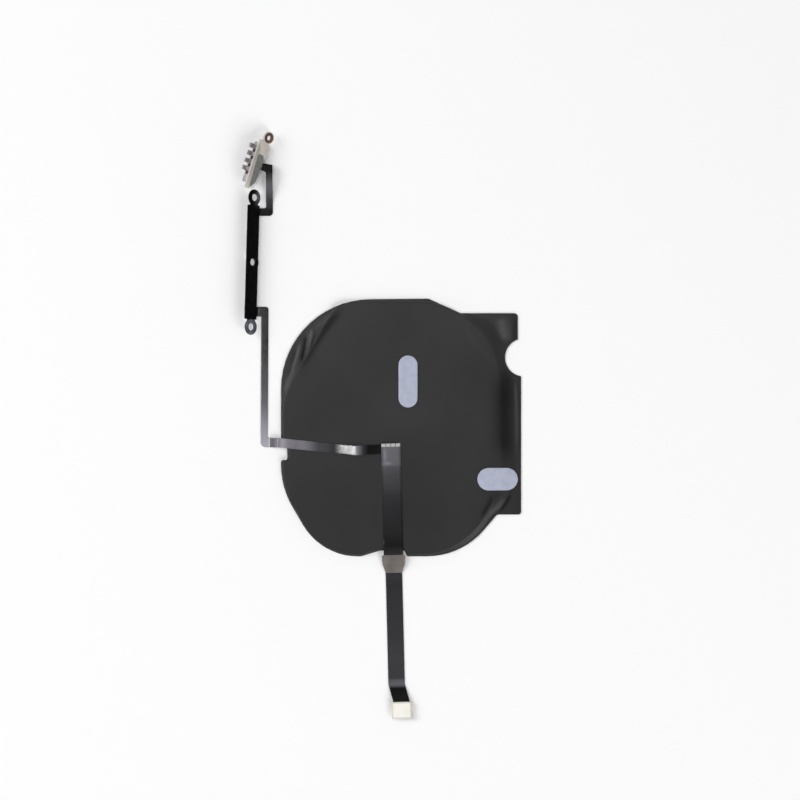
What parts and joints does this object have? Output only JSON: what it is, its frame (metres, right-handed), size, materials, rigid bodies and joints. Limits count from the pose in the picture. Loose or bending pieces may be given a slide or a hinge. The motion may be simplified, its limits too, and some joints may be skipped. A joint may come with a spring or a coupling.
{
  "type": "wireless charging receiver coil with volume and mute switch flex",
  "caption": "Flat receiver coil module with a flexible board tail, a side arm carrying a strip of volume key switches, and a slide switch on a loop.",
  "frame": {"origin": "centre of the copper coil on the rear bonding face", "axes": "+Z from the bonding face through the coil to the cover film, +Y away from the board tail, +X towards the film's notched flap"},
  "size_m": [0.0557, 0.1171, 0.0029],
  "materials": {
    "film_black": "satin black polyester film",
    "adhesive_clear": "double-sided adhesive sheet",
    "polyimide": "amber polyimide film",
    "copper": "enamelled copper winding",
    "ferrite": "nanocrystalline magnetic sheet",
    "graphite": "graphite heat sheet",
    "foam": "pale grey foam pad",
    "solder": "tinned pad",
    "flex_main": "dark flexible circuit",
    "flex_branch": "glossy flexible circuit",
    "flex_black": "black flexible circuit",
    "reinforcement": "brown-grey reinforcing film",
    "plate_pale": "pale plated steel plate",
    "plastic_black": "moulded black plastic",
    "gold_contact": "gold-plated contact",
    "steel_black": "black-coated steel",
    "steel_bright": "bright spring steel",
    "steel_warm": "warm nickel-plated steel",
    "copper_eyelet": "copper-coloured bush",
    "stiffener_grey": "dark grey glass-fibre stiffener",
    "chip": "ceramic chip",
    "slider_pale": "moulded pale plastic"
  },
  "bodies": {
    "coil_module": {"rear_adhesive": "adhesive_clear", "coil_base_film": "polyimide", "charging_coil": "copper", "coil_inner_lead": "copper", "coil_outer_lead": "copper", "shield_adhesive": "adhesive_clear", "ferrite_shield": "ferrite", "graphite_sheet": "graphite", "cover_film": "film_black", "centre_foam_pad": "foam", "edge_foam_pad": "foam", "solder_joints": "solder", "root_bond_tape": "adhesive_clear", "main_flex_root": "flex_main", "terminal_pads": "solder", "branch_bond_tape": "adhesive_clear", "branch_flex_root": "flex_branch"},
    "tail": {"main_flex_tail": "flex_main", "tail_reinforcement": "reinforcement", "connector_stiffener": "plate_pale", "connector_housing": "plastic_black", "connector_contacts": "gold_contact", "connector_anchors": "gold_contact"},
    "side_arm": {"branch_flex_arm": "flex_branch"},
    "volume_strip": {"volume_bracket": "steel_black", "bracket_tape": "adhesive_clear", "volume_flex": "flex_black", "strip_chips": "chip", "volume_up_base": "plastic_black", "volume_up_dome": "steel_bright", "volume_up_cover": "steel_bright", "volume_down_base": "plastic_black", "volume_down_dome": "steel_bright", "volume_down_cover": "steel_bright"},
    "volume_up_button": {"volume_up_actuator": "plastic_black"},
    "volume_down_button": {"volume_down_actuator": "plastic_black"},
    "ring_switch": {"loop_flex": "flex_black", "switch_bracket": "steel_warm", "switch_eyelet": "copper_eyelet", "switch_stiffener": "stiffener_grey", "switch_housing": "plastic_black", "switch_terminals": "gold_contact", "switch_cover": "steel_bright", "detent_spring": "steel_bright"},
    "ring_slider": {"switch_slider": "slider_pale", "slider_wiper": "gold_contact"}
  },
  "joints": [
    {"name": "tail_fold", "type": "hinge", "parent": "coil_module", "child": "tail", "pos_m": [-0.00051, -0.02494, 0.00085], "axis": [-0.9997, -0.0244, 0], "range_deg": [0, 90], "stiffness_Nm_per_rad": 0.002},
    {"name": "side_fold", "type": "hinge", "parent": "coil_module", "child": "side_arm", "pos_m": [-0.02375, -0.0029, 0.00085], "axis": [0, 1, 0], "range_deg": [0, 90], "stiffness_Nm_per_rad": 0.001},
    {"name": "volume_fold", "type": "hinge", "parent": "side_arm", "child": "volume_strip", "pos_m": [-0.02735, 0.03305, 0.00006], "axis": [0.0279, 0.9996, 0], "range_deg": [-5, 43], "stiffness_Nm_per_rad": 0.001},
    {"name": "switch_fold", "type": "hinge", "parent": "volume_strip", "child": "ring_switch", "pos_m": [-0.02735, 0.03305, 0.00006], "axis": [0.0279, 0.9996, 0], "range_deg": [-5, 30], "stiffness_Nm_per_rad": 0.001},
    {"name": "volume_up_press", "type": "slide", "parent": "volume_strip", "child": "volume_up_button", "axis": [0.7311, -0.0204, 0.682], "range_m": [0, 0.0002], "stiffness_N_per_m": 800, "deforming": ["volume_up_dome"]},
    {"name": "volume_down_press", "type": "slide", "parent": "volume_strip", "child": "volume_down_button", "axis": [0.7311, -0.0204, 0.682], "range_m": [0, 0.0002], "stiffness_N_per_m": 800, "deforming": ["volume_down_dome"]},
    {"name": "ring_slide", "type": "slide", "parent": "ring_switch", "child": "ring_slider", "axis": [0.309, 0.9511, 0], "range_m": [0, 0.0016]}
  ]
}
